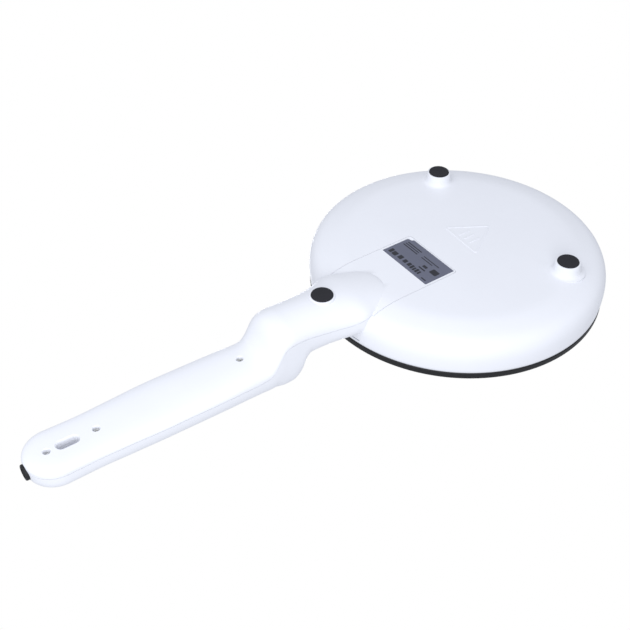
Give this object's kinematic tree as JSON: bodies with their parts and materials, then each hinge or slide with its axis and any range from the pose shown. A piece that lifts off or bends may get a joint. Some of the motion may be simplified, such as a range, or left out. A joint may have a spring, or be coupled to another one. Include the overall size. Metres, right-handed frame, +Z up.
{
  "type": "crepe maker",
  "caption": "Hand-held electric crepe maker: domed black non-stick plate on a round white housing with a stepped white handle, rubber feet and a rocker switch.",
  "frame": {"origin": "on the surface it stands on, under the middle of the whole object (plate and handle together)", "axes": "+Z up out of the domed plate, +X from the plate along the handle to the cord gland, +Y to the left of the handle"},
  "size_m": [0.4256, 0.205, 0.05],
  "materials": {
    "white_plastic": "moulded, semi-gloss, faint mould texture",
    "non_stick_coating": "cast aluminium with a black satin non-stick coating",
    "silicone": "matt translucent silicone",
    "element_sheath": "dull heat-stained steel tube",
    "bright_steel": "zinc-plated steel",
    "shield_metal": "mill-finish sheet",
    "thermostat_ceramic": "glazed white ceramic",
    "fuse_sleeve": "woven glass sleeve",
    "foot_rubber": "matt moulded rubber",
    "label_film": "satin printed film",
    "gland_rubber": "matt moulded rubber",
    "black_plastic": "fine spark texture",
    "rocker_plastic": "smooth semi-gloss",
    "terminal_brass": "stamped",
    "red_lens": "tinted clear plastic",
    "green_lens": "tinted clear plastic",
    "lamp_glass": "clear neon bulb",
    "terminal_plastic": "natural nylon",
    "brown_lead": "silicone insulation",
    "blue_lead": "silicone insulation",
    "green_lead": "silicone insulation"
  },
  "bodies": {
    "appliance": {"body_shell": "white_plastic", "lower_cover": "white_plastic", "cooking_plate": "non_stick_coating", "plate_seal": "silicone", "heating_element": "element_sheath", "element_pins": "bright_steel", "element_straps": "bright_steel", "heat_shield": "shield_metal", "thermostat": "thermostat_ceramic", "thermostat_screw": "bright_steel", "thermal_fuse": "fuse_sleeve", "earth_tag": "bright_steel", "handle_screws": "bright_steel", "neck_screw": "bright_steel", "plate_screws": "bright_steel", "foot_left": "foot_rubber", "foot_right": "foot_rubber", "foot_neck": "foot_rubber", "rating_label": "label_film", "cord_gland": "gland_rubber", "cord_clamp": "black_plastic", "clamp_screws": "bright_steel", "switch_housing": "black_plastic", "switch_terminals": "terminal_brass", "power_lamp_lens": "red_lens", "ready_lamp_lens": "green_lens", "power_lamp": "lamp_glass", "ready_lamp": "lamp_glass", "terminal_block": "terminal_plastic", "live_lead": "brown_lead", "switched_lead": "brown_lead", "neutral_lead": "blue_lead", "earth_lead": "green_lead"},
    "rocker": {"switch_rocker": "rocker_plastic"}
  },
  "joints": [
    {"name": "switch_tilt", "type": "hinge", "parent": "appliance", "child": "rocker", "pos_m": [0.08575, 0, 0.0456], "axis": [0, -1, 0], "range_deg": [0, 19]}
  ]
}
